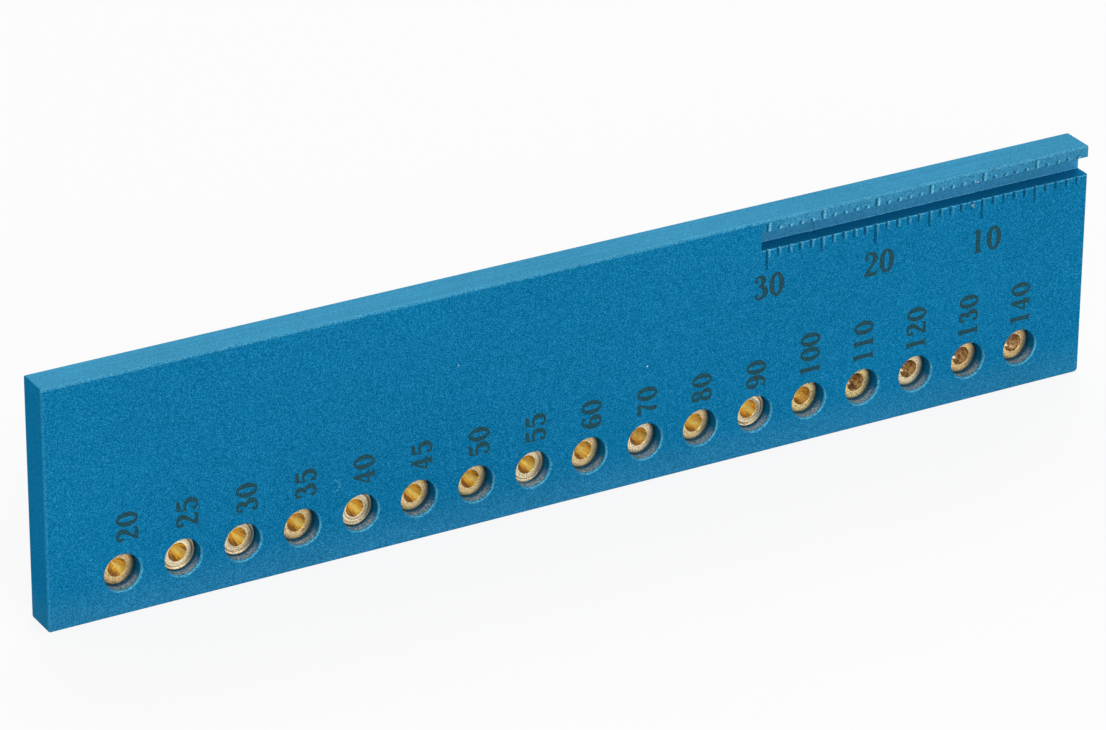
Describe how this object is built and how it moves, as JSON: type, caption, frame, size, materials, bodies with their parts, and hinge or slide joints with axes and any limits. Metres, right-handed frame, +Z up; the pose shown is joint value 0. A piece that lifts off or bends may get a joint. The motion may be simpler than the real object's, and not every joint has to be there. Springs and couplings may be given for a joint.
{
  "type": "endodontic file gauge",
  "caption": "Flat metal bar gauge with a row of graded funnel bores in pressed-in bushes and an open length channel with cut scale lines, standing on its long edge.",
  "frame": {"origin": "middle of the bottom face, on the surface that the bar stands on", "axes": "+X along the bar towards the open end of the channel, the front with the scale faces -Y, +Z up"},
  "size_m": [0.092, 0.003, 0.02],
  "materials": {
    "blue_anodised": "blasted, anodised blue, matt",
    "bush_brass": "turned, unpolished"
  },
  "bodies": {
    "root": {"gauge_bar": "blue_anodised", "gauge_bush_020": "bush_brass", "gauge_bush_025": "bush_brass", "gauge_bush_030": "bush_brass", "gauge_bush_035": "bush_brass", "gauge_bush_040": "bush_brass", "gauge_bush_045": "bush_brass", "gauge_bush_050": "bush_brass", "gauge_bush_055": "bush_brass", "gauge_bush_060": "bush_brass", "gauge_bush_070": "bush_brass", "gauge_bush_080": "bush_brass", "gauge_bush_090": "bush_brass", "gauge_bush_100": "bush_brass", "gauge_bush_110": "bush_brass", "gauge_bush_120": "bush_brass", "gauge_bush_130": "bush_brass", "gauge_bush_140": "bush_brass"}
  },
  "joints": []
}
